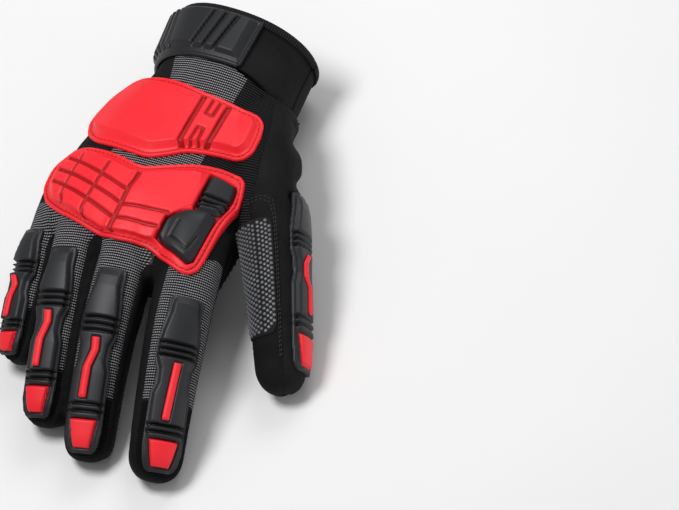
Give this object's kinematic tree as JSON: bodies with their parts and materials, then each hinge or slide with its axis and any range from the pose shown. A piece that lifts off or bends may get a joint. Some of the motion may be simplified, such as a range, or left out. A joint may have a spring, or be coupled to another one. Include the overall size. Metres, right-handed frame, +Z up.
{
  "type": "impact work glove",
  "caption": "Right-hand impact work glove with moulded rubber plates over the back, finger guards, grip patches and a wrist closure.",
  "frame": {"origin": "centre of the bounding box in plan, on the surface that the glove rests on", "axes": "+Z up out of the back of the hand, -Y toward the fingertips, +X toward the thumb"},
  "size_m": [0.153, 0.2364, 0.0556],
  "materials": {
    "grey_knit": "grey and black knitted polyester",
    "black_knit": "black ribbed knit",
    "neoprene": "matte black neoprene",
    "suede": "black synthetic suede",
    "red_rubber": "satin moulded rubber",
    "black_rubber": "satin moulded rubber",
    "grip": "silicone dots on black",
    "red_webbing": "ribbed nylon webbing"
  },
  "bodies": {
    "root": {"back_panel": "grey_knit", "back_gusset": "neoprene", "palm_panel": "suede", "side_pinky": "black_knit", "fourchette_ring_pinky": "black_knit", "fourchette_middle_ring": "black_knit", "fourchette_index_middle": "black_knit", "side_index": "black_knit", "thumb_outer": "neoprene", "thumb_inner": "suede", "hand_guard": "red_rubber", "knuckle_guard": "red_rubber", "knuckle_insert_upper": "black_rubber", "knuckle_insert_lower": "black_rubber", "grip_middle": "grip", "grip_ring": "grip", "grip_pinky": "grip", "grip_thumb": "grip", "grip_palm": "grip", "heel_pad_pinky": "suede", "heel_pad_thumb": "suede", "cuff": "neoprene", "cuff_binding": "black_knit", "closure_tab": "black_rubber", "pull_tab": "red_webbing", "finger_back_index": "grey_knit", "finger_palm_index": "suede", "finger_back_middle": "grey_knit", "finger_palm_middle": "suede", "finger_back_ring": "grey_knit", "finger_palm_ring": "suede", "finger_back_pinky": "grey_knit", "finger_palm_pinky": "suede", "guard_index": "black_rubber", "guard_tip_index": "red_rubber", "guard_stripe_index": "red_rubber", "guard_middle": "black_rubber", "guard_tip_middle": "red_rubber", "guard_stripe_middle": "red_rubber", "guard_ring": "black_rubber", "guard_tip_ring": "red_rubber", "guard_stripe_ring": "red_rubber", "guard_pinky": "black_rubber", "guard_tip_pinky": "red_rubber", "guard_stripe_pinky": "red_rubber", "guard_thumb": "black_rubber", "guard_tip_thumb": "red_rubber", "guard_stripe_thumb": "red_rubber"}
  },
  "joints": []
}
